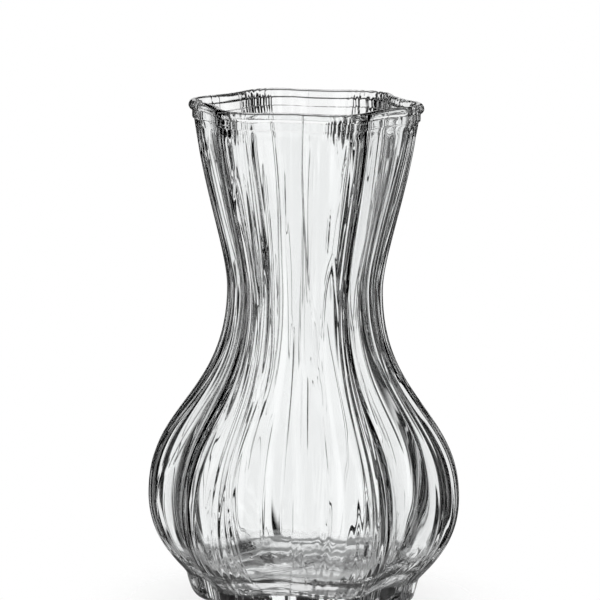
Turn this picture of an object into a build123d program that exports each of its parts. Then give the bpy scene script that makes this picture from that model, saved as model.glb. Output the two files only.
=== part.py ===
from build123d import *
import math
import os

# A six-lobed flower vase, blown in one piece of clear glass.
# Sizes are in millimetres. +Z is up, the origin is the centre of the foot on the table,
# and the first ridge lies on +X. Radii are measured over the ridges.

# Lobes: round ridges with hollow panels between them, a little flatter from the waist up to the mouth
lobe_count = 6
panel_depth_share = 0.144
mouth_depth_share = 0.126
ridge_round_share = 0.36

# Outline of the outside, from the table up
height = 200.0
foot_radius = 43.6
foot_height = 10.2
foot_top_radius = 46.3
belly_radius = 62.1
belly_height = 42.9
waist_radius = 30.9
waist_height = 125.9
mouth_radius = 44.1

# How far each curve holds its direction, as shares of the height between its two ends
foot_hold_share = 0.10
under_belly_hold_share = 0.63
over_belly_hold_share = 0.43
under_waist_hold_share = 0.53
over_waist_hold_share = 0.21
mouth_hold_share = 0.37

# Sideways flare of the wall at the mouth, as a share of its rise
mouth_flare_share = 0.08

# Glass thickness, which lessens evenly from the base to the mouth, and the foot
base_wall = 4.2
mouth_wall = 2.6
base_thickness = 11.0
floor_round = 7.0
foot_edge_round = 4.5
kick_radius = 28.0
kick_depth = 2.4

# Rim: a collar band, and a round bead that stands further out on top of it
collar_height = 3.2
collar_lap = 1.0
collar_proud = 0.7
collar_edge = 0.3
bead_thickness = 3.8
bead_proud = 2.3
bead_round = 1.7
bead_under_edge = 1.4
lip_wall = 3.6
lip_round = 1.3

# How far the cutting form of the inside runs past the rim
overrun = 5.0

# Sections taken up the foot, and along each of the three curves of the outline above it
foot_sections = 3
sections_per_curve = 6

# Levels that follow from these sizes
bead_bottom = height - bead_thickness
collar_bottom = bead_bottom - collar_height
mouth_height = collar_bottom + collar_lap


def depth_share_at(level):
    """How deep the panels lie at a level, as a share of the radius over the ridges."""
    share = (level - waist_height) / (mouth_height - waist_height)
    return panel_depth_share + min(max(share, 0), 1) * (mouth_depth_share - panel_depth_share)


def lobed_face(ridge_radius, level, inset=0):
    """A level face whose edge is ridge arcs and hollow arcs that run into each other.

    An inset face keeps the centres of the arcs, so its edge is a true offset.
    """
    half_pitch = math.pi / lobe_count
    ridge_round = ridge_radius * ridge_round_share
    ridge_centre = ridge_radius - ridge_round
    panel_radius = ridge_radius * (1 - depth_share_at(level))
    along = ridge_centre * math.cos(half_pitch)
    spare = ridge_round**2 - ridge_centre**2 - panel_radius**2 + 2 * along * panel_radius
    panel_round = spare / (2 * (panel_radius - along - ridge_round))
    panel_centre = panel_radius + panel_round

    # The arcs meet on the line between their centres
    ridge_point = Vector(ridge_centre, 0)
    panel_point = Vector(panel_centre, 0).rotate(Axis.Z, math.degrees(half_pitch))
    meeting = ridge_point + (panel_point - ridge_point).normalized() * (ridge_round - inset)
    meeting_angle = math.degrees(math.atan2(meeting.Y, meeting.X))

    def at(radius, angle):
        return Vector(radius, 0, level).rotate(Axis.Z, angle)

    pitch = math.degrees(2 * half_pitch)
    edges = []
    for lobe in range(lobe_count):
        middle = lobe * pitch
        start = at(meeting.length, middle - meeting_angle)
        turn = at(meeting.length, middle + meeting_angle)
        end = at(meeting.length, middle + pitch - meeting_angle)
        edges.append(ThreePointArc(start, at(ridge_radius - inset, middle), turn))
        edges.append(ThreePointArc(turn, at(panel_radius - inset, middle + pitch / 2), end))
    return Face(Wire(edges))


def outline_curves():
    """The outside of a ridge as three curves: foot to belly, belly to waist, waist to mouth."""
    foot_rise = belly_height - foot_height
    belly_rise = waist_height - belly_height
    waist_rise = mouth_height - waist_height
    foot_slope = (foot_top_radius - foot_radius) / foot_height
    foot_hold = foot_hold_share * foot_rise
    mouth_hold = mouth_hold_share * waist_rise
    return [
        Bezier(
            (foot_top_radius, 0, foot_height),
            (foot_top_radius + foot_slope * foot_hold, 0, foot_height + foot_hold),
            (belly_radius, 0, belly_height - under_belly_hold_share * foot_rise),
            (belly_radius, 0, belly_height),
        ),
        Bezier(
            (belly_radius, 0, belly_height),
            (belly_radius, 0, belly_height + over_belly_hold_share * belly_rise),
            (waist_radius, 0, waist_height - under_waist_hold_share * belly_rise),
            (waist_radius, 0, waist_height),
        ),
        Bezier(
            (waist_radius, 0, waist_height),
            (waist_radius, 0, waist_height + over_waist_hold_share * waist_rise),
            (mouth_radius - mouth_flare_share * mouth_hold, 0, mouth_height - mouth_hold),
            (mouth_radius, 0, mouth_height),
        ),
    ]


def stations():
    """Places along the outline, each a point with the direction that the wall takes there."""
    curves = outline_curves()
    places = []
    for curve in curves:
        for step in range(sections_per_curve):
            share = step / sections_per_curve
            places.append((curve @ share, curve % share))
    places.append((curves[-1] @ 1, curves[-1] % 1))
    return places


def wall_at(level):
    """The glass thickness at a level, square to the wall."""
    share = (level - base_thickness) / (mouth_height - base_thickness)
    return base_wall + share * (mouth_wall - base_wall)


def lower_edges(form):
    return form.faces().sort_by(Axis.Z)[0].edges()


def upper_edges(form):
    return form.faces().sort_by(Axis.Z)[-1].edges()


def outside():
    """The outside form: a tapered foot, with the belly, waist and mouth above it."""
    levels = []
    for step in range(foot_sections):
        share = step / foot_sections
        levels.append((foot_radius + share * (foot_top_radius - foot_radius), share * foot_height))
    levels += [(place.X, place.Z) for place, lean in stations()]
    form = loft([lobed_face(radius, level) for radius, level in levels])
    return fillet(lower_edges(form), foot_edge_round)


def collar():
    """The band under the bead, a little proud of the wall."""
    rise = collar_height + bead_thickness / 2
    band = extrude(lobed_face(mouth_radius + collar_proud, collar_bottom), rise)
    return chamfer(lower_edges(band), collar_edge)


def bead():
    """The rim's round bead, solid to the middle until the inside is cut."""
    disc = extrude(lobed_face(mouth_radius + bead_proud, bead_bottom), bead_thickness)
    disc = fillet(upper_edges(disc), bead_round)
    return chamfer(lower_edges(disc), bead_under_edge)


def inside():
    """The space inside: the outside less the wall, over a floor with a rounded edge."""
    faces = [lobed_face(foot_top_radius, base_thickness, base_wall)]
    for place, lean in stations():
        if place.Z > base_thickness + floor_round:
            faces.append(lobed_face(place.X, place.Z, wall_at(place.Z) / lean.Z))
    for level in (height, height + overrun):
        faces.append(lobed_face(mouth_radius + bead_proud, level, lip_wall))
    return fillet(lower_edges(loft(faces)), floor_round)


def kick():
    """The shallow hollow under the foot, a cap of a large sphere."""
    sphere_radius = (kick_radius**2 + kick_depth**2) / (2 * kick_depth)
    return Pos(0, 0, kick_depth - sphere_radius) * Sphere(sphere_radius)


def glass_body():
    """The whole vase, with the inner edge of its rim rounded."""
    glass = outside() + collar() + bead() - inside() - kick()
    inner_rim = glass.faces().sort_by(Axis.Z)[-1].inner_wires()[0].edges()
    return fillet(inner_rim, lip_round)


os.makedirs("parts", exist_ok=True)
glass = glass_body()
print("glass_body", round(glass.volume), "cubic millimetres")
export_step(glass, "parts/glass_body.step")
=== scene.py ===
import math

import bpy
import numpy as np
from mathutils import Matrix, Vector


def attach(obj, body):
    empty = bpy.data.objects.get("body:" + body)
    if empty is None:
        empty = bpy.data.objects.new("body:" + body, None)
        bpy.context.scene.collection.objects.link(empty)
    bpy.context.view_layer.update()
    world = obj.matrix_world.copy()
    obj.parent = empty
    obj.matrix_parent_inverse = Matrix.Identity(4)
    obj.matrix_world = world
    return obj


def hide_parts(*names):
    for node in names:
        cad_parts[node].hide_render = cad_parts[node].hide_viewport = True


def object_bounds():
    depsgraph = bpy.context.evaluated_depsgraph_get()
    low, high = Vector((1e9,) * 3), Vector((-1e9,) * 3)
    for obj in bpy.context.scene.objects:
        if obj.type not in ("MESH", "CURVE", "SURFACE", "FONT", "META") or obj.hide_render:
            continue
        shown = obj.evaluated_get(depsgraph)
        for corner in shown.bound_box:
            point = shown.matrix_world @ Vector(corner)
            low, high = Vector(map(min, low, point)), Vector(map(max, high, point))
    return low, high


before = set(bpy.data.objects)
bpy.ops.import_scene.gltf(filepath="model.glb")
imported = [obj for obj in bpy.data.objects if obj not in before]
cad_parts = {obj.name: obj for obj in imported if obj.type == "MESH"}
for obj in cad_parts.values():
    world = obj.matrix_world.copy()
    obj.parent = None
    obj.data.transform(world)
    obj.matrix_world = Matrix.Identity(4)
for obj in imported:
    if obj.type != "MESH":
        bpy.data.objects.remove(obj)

cad_low, cad_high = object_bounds()

# A six-lobed flower vase of clear blown glass, on a white table in a bright-field studio.
# The glass is worked out in millimetres, as rings of points round the axis, and becomes metres in the mesh.
metres_per_mm = 0.001

# Lobes: round ridges with hollow panels between them, the first ridge on +X,
# and a little flatter from the waist up to the mouth
lobe_count = 6
panel_depth_share = 0.144
mouth_depth_share = 0.126
ridge_round_share = 0.36
half_pitch = math.pi / lobe_count

# The most that a ring can be inset, as a share of its radius over the ridges
largest_inset_share = 0.3

# Outline of the outside over the ridges, from the table up
height = (cad_high.z - cad_low.z) / metres_per_mm
foot_radius = 43.6
foot_height = 10.2
foot_top_radius = 46.3
foot_slope = (foot_top_radius - foot_radius) / foot_height
belly_radius = (cad_high.x - cad_low.x) / 2 / metres_per_mm
belly_height = 42.9
waist_radius = 30.9
waist_height = 125.9
mouth_radius = 44.1
mouth_height = 194.0

# How far each curve of the outline holds its direction, as shares of the height between its ends
foot_hold_share = 0.10
under_belly_hold_share = 0.63
over_belly_hold_share = 0.43
under_waist_hold_share = 0.53
over_waist_hold_share = 0.21
mouth_hold_share = 0.37
mouth_flare_share = 0.08

# Glass thickness, the level where the inner wall bends into the floor, the floor's flat middle with
# how far the lobes have faded at its edge, and the hollow under the foot
base_wall = 4.2
mouth_wall = 2.6
base_thickness = 11.0
floor_start = 25.0
floor_flat_radius = 16.0
floor_fade_share = 0.3
foot_edge_round = 4.5
kick_radius = 28.0
kick_depth = 2.4

# Rim: a collar band, and a round bead that stands further out on top of it
collar_bottom = 193.0
collar_proud = 0.7
collar_edge = 0.3
bead_proud = 2.3
bead_thickness = 3.8
bead_start_turn = math.radians(-75)
lip_wall = 3.6
lip_blend_depth = 4.0
lip_blend_rise = 6.0

# Direction of the photograph's view round the axis: zero looks along +Y
view_turn = math.radians(-50.6)

# Fineness of the mesh, and the size of the innermost ring as a share of the middle that it closes
columns = 720
wall_rings_per_curve = 60
small_rings = 14
skin_blend_rings = 9
innermost_share = 0.02

# Ribs that the mould leaves along the ridges: number round, heights on the wall and at the rim, and
# how far from a ridge they reach and fade, as shares of the way to the middle of a panel.
# Their spacing and height wander: how far, number round, spacing along the wall, seed.
rib_count = 96
wall_rib_height = 0.05
rim_rib_height = 0.32
rib_reach_share = 0.25
rib_fade_share = 0.45
rib_spacing_wander = (3.0, 40, 60.0, 21)
rib_height_middle_share = 0.5
rib_height_wander = (0.8, 54, 70.0, 25)

# Levels of the ribs at the rim: they rise over their reach from the bottom, and fade out below the top
rim_rib_bottom = 186.0
rim_rib_reach = 7.0
rim_rib_top = 199.0
rim_rib_fade = 2.5

# Ripples drawn out by the blowing: height, number round, spacing along the wall, seed.
# Panels, the inside and the rim have only a share of them.
ripples = [
    (0.085, 66, 66.0, 11),
    (0.015, 140, 50.0, 12),
    (0.004, 230, 22.0, 13),
]
panel_ripple_share = 0.4
inner_ripple_share = 0.5
rim_ripple_share = 0.6
inner_seed_step = 40

# Ripples round the bend of the floor inside, where the hot glass was chilled
chill_ripple = (0.20, 28, 2.4, 14)
chill_top = 21.0
chill_middle = 18.0
chill_fade = 8.0

# Seams of the two-part mould, on opposite sides
seam_turn = math.radians(-141.5)
seam_height = 0.07
seam_width = 0.45

# Lines drawn out in the glass: degrees round from the photograph's view, lowest and highest level, height
drawn_lines = [
    (-34.0, 118.0, 176.0, -0.16),
    (-24.0, 52.0, 186.0, -0.17),
    (-13.7, 150.0, 187.0, -0.18),
    (-17.5, 28.0, 88.0, -0.20),
    (5.0, 128.0, 186.0, -0.08),
    (14.0, 138.0, 168.0, -0.16),
    (9.4, 36.0, 100.0, -0.20),
    (33.0, 30.0, 110.0, -0.18),
    (-9.0, 34.0, 120.0, -0.18),
    (-5.0, 22.0, 62.0, -0.18),
    (1.5, 60.0, 104.0, -0.16),
    (52.0, 60.0, 180.0, -0.12),
    (96.0, 40.0, 150.0, -0.14),
    (118.0, 90.0, 180.0, -0.14),
    (167.0, 30.0, 120.0, -0.12),
    (174.0, 110.0, 185.0, -0.14),
    (-150.0, 60.0, 170.0, -0.12),
    (-112.0, 40.0, 120.0, -0.14),
    (-72.0, 80.0, 180.0, -0.12),
]
line_width = 0.45
line_fade = 14.0
line_wander = (0.35, 24, 30.0, 41)

# Ribs, and ripples near the ridges, are stronger low on the vase
low_gain_share = 2.5
low_gain_top = 48.0
low_gain_fade = 36.0


def smooth_step(value):
    held = np.clip(value, 0, 1)
    return held * held * (3 - 2 * held)


def turn_from_ridge(angle):
    """Angle from the nearest ridge."""
    return np.abs((angle + half_pitch) % (2 * half_pitch) - half_pitch)


def lobed_radius(angle, ridge_radius, inset, level):
    """Distance from the axis to a lobed outline of ridge arcs and hollow arcs, inset from its edge."""
    from_ridge = turn_from_ridge(angle)
    to_mouth = np.clip((level - waist_height) / (mouth_height - waist_height), 0, 1)
    depth_share = panel_depth_share + to_mouth * (mouth_depth_share - panel_depth_share)
    ridge_round = ridge_radius * ridge_round_share
    ridge_centre = ridge_radius - ridge_round
    panel_radius = ridge_radius * (1 - depth_share)
    along = ridge_centre * math.cos(half_pitch)
    spare = ridge_round**2 - ridge_centre**2 - panel_radius**2 + 2 * along * panel_radius
    panel_round = spare / (2 * (panel_radius - along - ridge_round))
    panel_centre = panel_radius + panel_round

    # The arcs meet on the line between their centres
    reach_x = panel_centre * math.cos(half_pitch) - ridge_centre
    reach_y = panel_centre * math.sin(half_pitch)
    reach = np.hypot(reach_x, reach_y)
    meet_x = ridge_centre + reach_x / reach * (ridge_round - inset)
    meet_y = reach_y / reach * (ridge_round - inset)
    meeting_angle = np.arctan2(meet_y, meet_x)

    from_panel = half_pitch - from_ridge
    ridge_bow = (ridge_round - inset) ** 2 - (ridge_centre * np.sin(from_ridge)) ** 2
    panel_bow = (panel_round + inset) ** 2 - (panel_centre * np.sin(from_panel)) ** 2
    on_ridge = ridge_centre * np.cos(from_ridge) + np.sqrt(np.maximum(ridge_bow, 0))
    on_panel = panel_centre * np.cos(from_panel) - np.sqrt(np.maximum(panel_bow, 0))
    return np.where(from_ridge < meeting_angle, on_ridge, on_panel)


def bezier(start, hold_start, hold_end, end, steps, closed=False):
    """Points on a cubic curve; the end itself is left out unless closed."""
    share = np.linspace(0, 1, steps, endpoint=closed)[:, None]
    back = 1 - share
    start, hold_start, hold_end, end = map(np.array, (start, hold_start, hold_end, end))
    return (
        back**3 * start
        + 3 * back**2 * share * hold_start
        + 3 * back * share**2 * hold_end
        + share**3 * end
    )


def wall_outline():
    """The outside over a ridge, as radius and level, from the top of the foot to the mouth."""
    foot_rise = belly_height - foot_height
    belly_rise = waist_height - belly_height
    waist_rise = mouth_height - waist_height
    foot_hold = foot_hold_share * foot_rise
    mouth_hold = mouth_hold_share * waist_rise
    foot = bezier(
        (foot_top_radius, foot_height),
        (foot_top_radius + foot_slope * foot_hold, foot_height + foot_hold),
        (belly_radius, belly_height - under_belly_hold_share * foot_rise),
        (belly_radius, belly_height),
        wall_rings_per_curve,
    )
    belly = bezier(
        (belly_radius, belly_height),
        (belly_radius, belly_height + over_belly_hold_share * belly_rise),
        (waist_radius, waist_height - under_waist_hold_share * belly_rise),
        (waist_radius, waist_height),
        wall_rings_per_curve,
    )
    mouth = bezier(
        (waist_radius, waist_height),
        (waist_radius, waist_height + over_waist_hold_share * waist_rise),
        (mouth_radius - mouth_flare_share * mouth_hold, mouth_height - mouth_hold),
        (mouth_radius, mouth_height),
        wall_rings_per_curve,
        closed=True,
    )
    return np.concatenate([foot, belly, mouth])


def rings_of(ridge_radius, level, inset=0.0, roundness=0.0):
    """Rings as rows of ridge radius, level, inset, and how far the lobes have faded into a circle."""
    return np.stack(np.broadcast_arrays(ridge_radius, level, inset, roundness), -1).astype(float)


def underside():
    """The hollow under the foot, the flat ring that stands on the table, and its rounded edge."""
    share = np.linspace(innermost_share, 1, 2 * small_rings)
    hollow = rings_of(kick_radius * share, kick_depth * (1 - share**2), roundness=1.0)
    share = np.linspace(0, 1, small_rings)[1:-1]
    ring = rings_of(
        kick_radius + (foot_radius - kick_radius) * share, 0.0, foot_edge_round * share, 1 - share
    )
    turn = np.linspace(0, math.pi / 2, small_rings)
    level = foot_edge_round * (1 - np.cos(turn))
    edge = rings_of(foot_radius + foot_slope * level, level, foot_edge_round * (1 - np.sin(turn)))
    return np.concatenate([hollow, ring, edge])


def outside():
    """The outer wall from the foot's edge to the collar."""
    level = np.linspace(foot_edge_round, foot_height, small_rings)[1:-1]
    foot = rings_of(foot_radius + foot_slope * level, level)
    wall = wall_outline()
    wall = wall[wall[:, 1] < collar_bottom - collar_edge]
    return np.concatenate([foot, rings_of(wall[:, 0], wall[:, 1])])


def rim():
    """The collar's soft step and band, and the round bead down to the inner edge of the lip."""
    share = np.linspace(0, 1, small_rings // 2)
    step = rings_of(
        mouth_radius + collar_proud * smooth_step(share),
        collar_bottom + collar_edge * (2 * share - 1),
    )
    bead_bottom = height - bead_thickness
    level = np.linspace(collar_bottom + collar_edge, bead_bottom, small_rings // 2)[1:]
    band = rings_of(mouth_radius + collar_proud, level)
    bead_radius = mouth_radius + bead_proud
    turn = np.linspace(bead_start_turn, math.pi, 3 * small_rings)
    bead = rings_of(
        bead_radius,
        height - bead_thickness / 2 * (1 - np.sin(turn)),
        lip_wall / 2 * (1 - np.cos(turn)),
    )
    return np.concatenate([step, band, bead])


def inside():
    """The inner wall from the lip down to the floor, and the floor to its middle."""
    outline = wall_outline()[::-1]
    lean = np.gradient(outline, axis=0)
    upright = np.abs(lean[:, 1]) / np.hypot(lean[:, 0], lean[:, 1])
    share = (outline[:, 1] - base_thickness) / (mouth_height - base_thickness)
    wall = (base_wall + share * (mouth_wall - base_wall)) / upright
    lip = smooth_step((outline[:, 1] - collar_bottom + lip_blend_depth) / lip_blend_rise)
    inner = rings_of(
        outline[:, 0] + bead_proud * lip, outline[:, 1], wall + (lip_wall - mouth_wall) * lip
    )
    inner = inner[inner[:, 1] > floor_start]

    # The bend starts in the wall's own direction
    before, last = inner[-2:]
    corner = last + (last - before) * (base_thickness - last[1]) / (last[1] - before[1])
    flat = np.array([floor_flat_radius, base_thickness, base_wall, floor_fade_share])
    share = np.linspace(0, 1, 3 * small_rings)[1:, None]
    bend = (1 - share) ** 2 * last + 2 * share * (1 - share) * corner + share**2 * flat
    share = np.linspace(1, innermost_share, 2 * small_rings)[1:]
    floor = rings_of(
        floor_flat_radius * share, base_thickness, base_wall * share, 1 - (1 - floor_fade_share) * share
    )
    return np.concatenate([inner, bend, floor])


def drawn_noise(angle, along, around, spacing, seed):
    """Smooth noise, stretched along the wall, that closes on itself round the axis."""
    row = along / spacing
    low = np.floor(row).astype(int)
    knots = np.random.default_rng(seed).normal(size=(low.max() + 2, around))
    column = angle / (2 * math.pi) * around % around
    left = np.floor(column).astype(int)
    across, up = smooth_step(column - left), smooth_step(row - low)
    left, right = left % around, (left + 1) % around
    lower = knots[low, left] * (1 - across) + knots[low, right] * across
    upper = knots[low + 1, left] * (1 - across) + knots[low + 1, right] * across
    return lower * (1 - up) + upper * up


def rippled(points, rows, skin):
    """Moves points along their normals by ribs, ripples, lines and seams; skin names each ring's part."""
    up = np.gradient(points, axis=0)
    around = np.roll(points, -1, axis=1) - np.roll(points, 1, axis=1)
    normal = np.cross(around, up)
    normal /= np.linalg.norm(normal, axis=2, keepdims=True)

    def share_of(wanted):
        """One on the wanted skin and nought off it, blended over a few rings."""
        on_skin = np.pad((skin == wanted).astype(float), skin_blend_rings, mode="edge")
        share = np.convolve(on_skin, np.ones(skin_blend_rings) / skin_blend_rings, "same")
        return share[skin_blend_rings:-skin_blend_rings, None]

    on_outside = share_of("outside")
    on_rim = share_of("rim")
    on_inside = share_of("inside")

    step = np.hypot(np.diff(rows[:, 0] - rows[:, 2]), np.diff(rows[:, 1]))
    along = np.concatenate([[0], np.cumsum(step)])[:, None]
    angle = np.arctan2(points[:, :, 1], points[:, :, 0])
    reach = np.hypot(points[:, :, 0], points[:, :, 1])
    level = points[:, :, 2]

    def wandering(size, count, spacing, seed):
        return size * drawn_noise(angle, along, count, spacing, seed)

    # Ribs along the ridges, highest at the rim
    from_ridge = turn_from_ridge(angle) / half_pitch
    near_ridge = 1 - smooth_step((from_ridge - rib_reach_share) / rib_fade_share)
    low_gain = 1 + low_gain_share * smooth_step((low_gain_top - level) / low_gain_fade)
    below_top = smooth_step((rim_rib_top - level) / rim_rib_fade)
    near_rim = smooth_step((level - rim_rib_bottom) / rim_rib_reach) * below_top
    rib_height = wall_rib_height * on_outside + rim_rib_height * near_rim * (on_outside + on_rim)
    rib_height = rib_height * np.clip(rib_height_middle_share + wandering(*rib_height_wander), 0, None)
    shift = rib_height * np.cos(rib_count * angle + wandering(*rib_spacing_wander)) * near_ridge * low_gain

    # Ripples on both sides of the glass
    strength = panel_ripple_share + (1 - panel_ripple_share) * near_ridge * low_gain
    outer = on_outside + rim_ripple_share * on_rim
    inner = inner_ripple_share * on_inside
    for ripple_height, count, spacing, seed in ripples:
        shift += outer * strength * wandering(ripple_height, count, spacing, seed)
        shift += inner * strength * wandering(ripple_height, count, spacing, seed + inner_seed_step)

    # Chilled glass round the bend of the floor
    below_chill_top = smooth_step((chill_top - level) / chill_fade)
    past_chill_middle = smooth_step((reach - chill_middle) / chill_fade)
    shift += on_inside * below_chill_top * past_chill_middle * wandering(*chill_ripple)

    # Drawn lines, each on one side of the axis only
    facing_view = view_turn - math.pi / 2
    sideways = wandering(*line_wander)
    for turn, low, high, line_height in drawn_lines:
        from_line = angle - facing_view - math.radians(turn)
        aside = reach * np.sin(from_line) + sideways
        length = smooth_step((level - low) / line_fade) * smooth_step((high - level) / line_fade)
        length = length * (np.cos(from_line) > 0)
        shift += on_outside * length * line_height * np.exp(-((aside / line_width) ** 2))

    # Seams on both sides of the axis
    from_seam = reach * np.sin(angle - seam_turn)
    shift += on_outside * seam_height * np.exp(-((from_seam / seam_width) ** 2))
    return points + normal * shift[:, :, None]


def ring_mesh(name, points):
    """A closed mesh from rings of points, with a point at each end to close it."""
    ring_count, around, _ = points.shape
    first = points[0].mean(axis=0)
    last = points[-1].mean(axis=0)
    vertices = np.concatenate([points.reshape(-1, 3), [first, last]]) * metres_per_mm
    ring, column = np.meshgrid(np.arange(ring_count - 1), np.arange(around), indexing="ij")
    onward = (column + 1) % around
    quads = np.stack(
        [
            ring * around + column,
            ring * around + onward,
            (ring + 1) * around + onward,
            (ring + 1) * around + column,
        ],
        -1,
    ).reshape(-1, 4)
    column = np.arange(around)
    onward = (column + 1) % around
    end = (ring_count - 1) * around
    low_fan = np.stack([np.full(around, ring_count * around), onward, column], -1)
    high_fan = np.stack([np.full(around, ring_count * around + 1), end + column, end + onward], -1)
    mesh = bpy.data.meshes.new(name)
    mesh.from_pydata(vertices.tolist(), [], quads.tolist() + low_fan.tolist() + high_fan.tolist())
    mesh.shade_smooth()
    piece = bpy.data.objects.new(name, mesh)
    bpy.context.scene.collection.objects.link(piece)
    return piece


def vase():
    """The whole vase as one closed skin of glass."""
    parts = {"underside": underside(), "outside": outside(), "rim": rim(), "inside": inside()}
    rows = np.concatenate(list(parts.values()))
    skin = np.concatenate([[name] * len(part) for name, part in parts.items()])
    radius, level, inset, roundness = (rows[:, place : place + 1] for place in range(4))
    angle = np.linspace(0, 2 * math.pi, columns, endpoint=False)[None, :]
    lobed = lobed_radius(angle, radius, np.minimum(inset, radius * largest_inset_share), level)
    reach = roundness * radius + (1 - roundness) * lobed
    levels = np.broadcast_to(level, reach.shape)
    points = np.stack([reach * np.cos(angle), reach * np.sin(angle), levels], -1)
    return ring_mesh("vase_glass", rippled(points, rows, skin))


def maths_in(tree):
    """A short way to add a maths node to a tree: values are numbers or other nodes' outputs."""

    def maths(operation, *values):
        node = tree.nodes.new("ShaderNodeMath")
        node.operation = operation
        for socket, value in zip(node.inputs, values):
            if isinstance(value, (int, float)):
                socket.default_value = value
            else:
                tree.links.new(value, socket)
        return node.outputs["Value"]

    return maths


def ramp_in(tree, value, start, end, low=0.0, high=1.0):
    """A smooth step from low to high as the value goes from start to end."""
    node = tree.nodes.new("ShaderNodeMapRange")
    node.interpolation_type = "SMOOTHSTEP"
    node.inputs["From Min"].default_value = start
    node.inputs["From Max"].default_value = end
    node.inputs["To Min"].default_value = low
    node.inputs["To Max"].default_value = high
    tree.links.new(value, node.inputs["Value"])
    return node.outputs["Result"]


def ray_by_glass(maths, path):
    """One for rays that the glass reflects or lets through, nought for the rest."""
    return maths("MAXIMUM", path.outputs["Is Glossy Ray"], path.outputs["Is Transmission Ray"])


def clear_glass():
    """Clear soda-lime glass, faintly cool in tint, with fine streaks along its height; depth in metres."""
    tint = (0.985, 0.993, 0.993, 1)
    refractive_index = 1.5
    streaks_round = 3.0
    streaks_up = 8.0
    streak_width_share = 0.018
    streak_depth = 0.00006
    noise_middle = 0.5
    material = bpy.data.materials.new("clear_glass")
    material.use_nodes = True
    tree = material.node_tree
    nodes, links = tree.nodes, tree.links
    maths = maths_in(tree)
    glass = nodes["Principled BSDF"]
    glass.inputs["Base Color"].default_value = tint
    glass.inputs["Transmission Weight"].default_value = 1
    glass.inputs["Roughness"].default_value = 0
    glass.inputs["IOR"].default_value = refractive_index

    # Noise on a cylinder: the direction from the axis, and the height much shortened
    place = nodes.new("ShaderNodeTexCoord")
    parts = nodes.new("ShaderNodeSeparateXYZ")
    links.new(place.outputs["Object"], parts.inputs["Vector"])
    turn = maths("ARCTAN2", parts.outputs["Y"], parts.outputs["X"])
    cylinder = nodes.new("ShaderNodeCombineXYZ")
    links.new(maths("MULTIPLY", maths("COSINE", turn), streaks_round), cylinder.inputs["X"])
    links.new(maths("MULTIPLY", maths("SINE", turn), streaks_round), cylinder.inputs["Y"])
    links.new(maths("MULTIPLY", parts.outputs["Z"], streaks_up), cylinder.inputs["Z"])
    noise = nodes.new("ShaderNodeTexNoise")
    noise.inputs["Scale"].default_value = 1
    noise.inputs["Detail"].default_value = 1
    links.new(cylinder.outputs["Vector"], noise.inputs["Vector"])

    # A streak is a fine groove wherever the noise passes its middle value
    from_middle = maths("ABSOLUTE", maths("SUBTRACT", noise.outputs["Fac"], noise_middle))
    groove = ramp_in(tree, from_middle, 0.0, streak_width_share)
    bump = nodes.new("ShaderNodeBump")
    bump.inputs["Strength"].default_value = 1
    bump.inputs["Distance"].default_value = streak_depth
    links.new(groove, bump.inputs["Height"])
    links.new(bump.outputs["Normal"], glass.inputs["Normal"])
    return material


def floor():
    """A pale round table top whose edge fades into the white background; lengths in metres."""
    table_radius = 0.10
    fade_start = 0.045
    fade_end = 0.095
    table_gap = 0.0001
    table_sides = 96
    table_colour = (0.97, 0.97, 0.97, 1)
    seen_glow_share = 0.7
    glass_glow_share = 0.15
    see_through_share = 0.65
    bpy.ops.mesh.primitive_circle_add(vertices=table_sides, radius=table_radius, fill_type="TRIFAN")
    table = bpy.context.object
    table.name = "table"
    table.location.z = -table_gap
    material = bpy.data.materials.new("white_table")
    material.use_nodes = True
    tree = material.node_tree
    nodes, links = tree.nodes, tree.links
    nodes.clear()
    place = nodes.new("ShaderNodeTexCoord")
    length = nodes.new("ShaderNodeVectorMath")
    length.operation = "LENGTH"
    links.new(place.outputs["Object"], length.inputs[0])
    pale = nodes.new("ShaderNodeBsdfDiffuse")
    pale.inputs["Color"].default_value = table_colour
    white = nodes.new("ShaderNodeEmission")
    table_light = nodes.new("ShaderNodeMixShader")
    path = nodes.new("ShaderNodeLightPath")
    maths = maths_in(tree)
    by_glass = ray_by_glass(maths, path)
    seen_glow = maths("MULTIPLY", path.outputs["Is Camera Ray"], seen_glow_share)
    glass_glow = maths("MULTIPLY", by_glass, glass_glow_share)
    links.new(maths("MAXIMUM", seen_glow, glass_glow), table_light.inputs["Fac"])
    links.new(pale.outputs["BSDF"], table_light.inputs[1])
    links.new(white.outputs["Emission"], table_light.inputs[2])
    clear = nodes.new("ShaderNodeBsdfTransparent")
    mix = nodes.new("ShaderNodeMixShader")
    faded = ramp_in(tree, length.outputs["Value"], fade_start, fade_end)
    faded = maths("MAXIMUM", faded, maths("MULTIPLY", by_glass, see_through_share))
    links.new(faded, mix.inputs["Fac"])
    links.new(table_light.outputs["Shader"], mix.inputs[1])
    links.new(clear.outputs["BSDF"], mix.inputs[2])
    end = nodes.new("ShaderNodeOutputMaterial")
    links.new(mix.outputs["Shader"], end.inputs["Surface"])
    table.data.materials.append(material)


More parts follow.
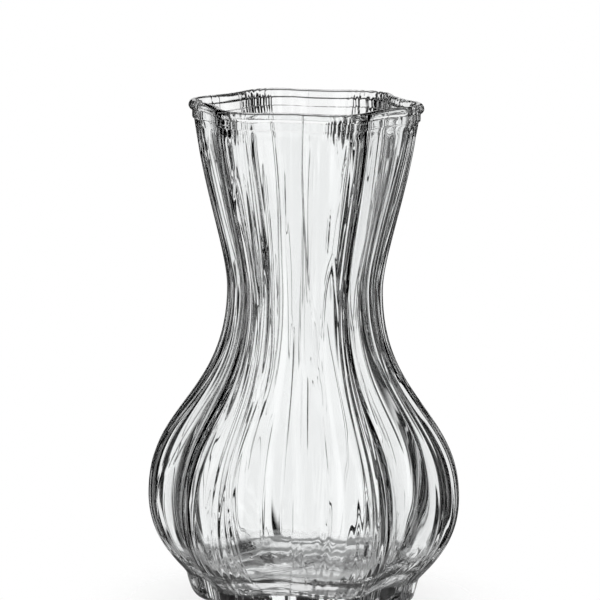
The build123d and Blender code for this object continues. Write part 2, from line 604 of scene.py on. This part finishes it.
def studio():
    """Soft white light, with the glass among white screens and dark cards in turn.

    Four wide screens stand near the diagonals and four narrow ones on the axes, all tall. Below them lies
    a dark ground, and light comes up from under the table. Light shares are of the white screens' light.
    """
    screen_count = 4
    wide_screen_turn = math.radians(42)
    wide_screen_edge = math.radians(6.5)
    wide_card_edge = math.radians(9.5)
    narrow_screen_edge = math.radians(3)
    narrow_card_edge = math.radians(5.5)
    ground_edge = math.radians(-26)
    ground_foot = math.radians(-36)
    ground_light_share = 0.02
    under_edge = math.radians(-42)
    under_middle = math.radians(-55)
    under_light_share = 0.9
    card_light_share = 0.003
    no_bounce_limit = 0.5
    world = bpy.data.worlds.new("studio")
    bpy.context.scene.world = world
    world.use_nodes = True
    tree = world.node_tree
    nodes, links = tree.nodes, tree.links
    nodes.clear()
    maths = maths_in(tree)
    place = nodes.new("ShaderNodeTexCoord")
    parts = nodes.new("ShaderNodeSeparateXYZ")
    links.new(place.outputs["Generated"], parts.inputs["Vector"])
    turn = maths("ARCTAN2", parts.outputs["Y"], parts.outputs["X"])
    height_share = parts.outputs["Z"]

    def screens(first_turn, screen_edge, card_edge):
        """Four white screens in a square, each fading out from its edge to where the cards begin."""
        from_screen = maths("MULTIPLY", maths("SUBTRACT", turn, first_turn), screen_count)
        along_card = math.cos(screen_count * card_edge)
        along_screen = math.cos(screen_count * screen_edge)
        return ramp_in(tree, maths("COSINE", from_screen), along_card, along_screen)

    wide = screens(wide_screen_turn, wide_screen_edge, wide_card_edge)
    narrow = screens(0.0, narrow_screen_edge, narrow_card_edge)
    white = maths("MAXIMUM", wide, narrow)
    around = maths("MAXIMUM", white, card_light_share)
    ground = ramp_in(tree, height_share, math.sin(ground_foot), math.sin(ground_edge))
    lowered = maths("SUBTRACT", around, ground_light_share)
    under = ramp_in(tree, height_share, math.sin(under_edge), math.sin(under_middle))
    ground = maths("MAXIMUM", ground, under)
    around = maths("ADD", maths("MULTIPLY", lowered, ground), ground_light_share)
    around = maths("MAXIMUM", around, maths("MULTIPLY", under, under_light_share))

    # Cards darken only what the glass shows; the table and the background stay white
    path = nodes.new("ShaderNodeLightPath")
    by_glass = ray_by_glass(maths, path)
    unscattered = maths("LESS_THAN", path.outputs["Diffuse Depth"], no_bounce_limit)
    by_glass = maths("MULTIPLY", by_glass, unscattered)
    missing = maths("SUBTRACT", 1.0, around)
    level = maths("SUBTRACT", 1.0, maths("MULTIPLY", by_glass, missing))
    light = nodes.new("ShaderNodeBackground")
    light.inputs["Color"].default_value = (1, 1, 1, 1)
    links.new(level, light.inputs["Strength"])
    end = nodes.new("ShaderNodeOutputWorld")
    links.new(light.outputs["Background"], end.inputs["Surface"])


def camera():
    """The photograph's view: nearly level, from far off, the foot at the frame's edge; lengths in metres."""
    image_size = 600
    distance = 1.80
    level = 0.4203
    target_level = 0.1211
    focal_pixels = 4632.3
    axis_pixels_right = 4.8
    roll = 0.0063
    sensor_width = 36.0
    far_clip = 100.0
    data = bpy.data.cameras.new("camera")
    view = bpy.data.objects.new("camera", data)
    bpy.context.scene.collection.objects.link(view)
    bpy.context.scene.camera = view
    data.sensor_width = sensor_width
    data.lens = focal_pixels * sensor_width / image_size
    data.clip_end = far_clip
    place = Vector((math.sin(view_turn) * distance, -math.cos(view_turn) * distance, level))
    look = (Vector((0, 0, target_level)) - place).to_track_quat("-Z", "Y")
    right = look @ Vector((1, 0, 0))
    view.location = place - right * (axis_pixels_right * distance / focal_pixels)
    view.rotation_mode = "QUATERNION"
    view.rotation_quaternion = look @ Matrix.Rotation(roll, 3, "Z").to_quaternion()


bpy.context.scene.view_settings.view_transform = "Standard"
glass = vase()
glass.data.materials.append(clear_glass())
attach(glass, "root")
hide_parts("glass_body")
floor()
studio()
camera()
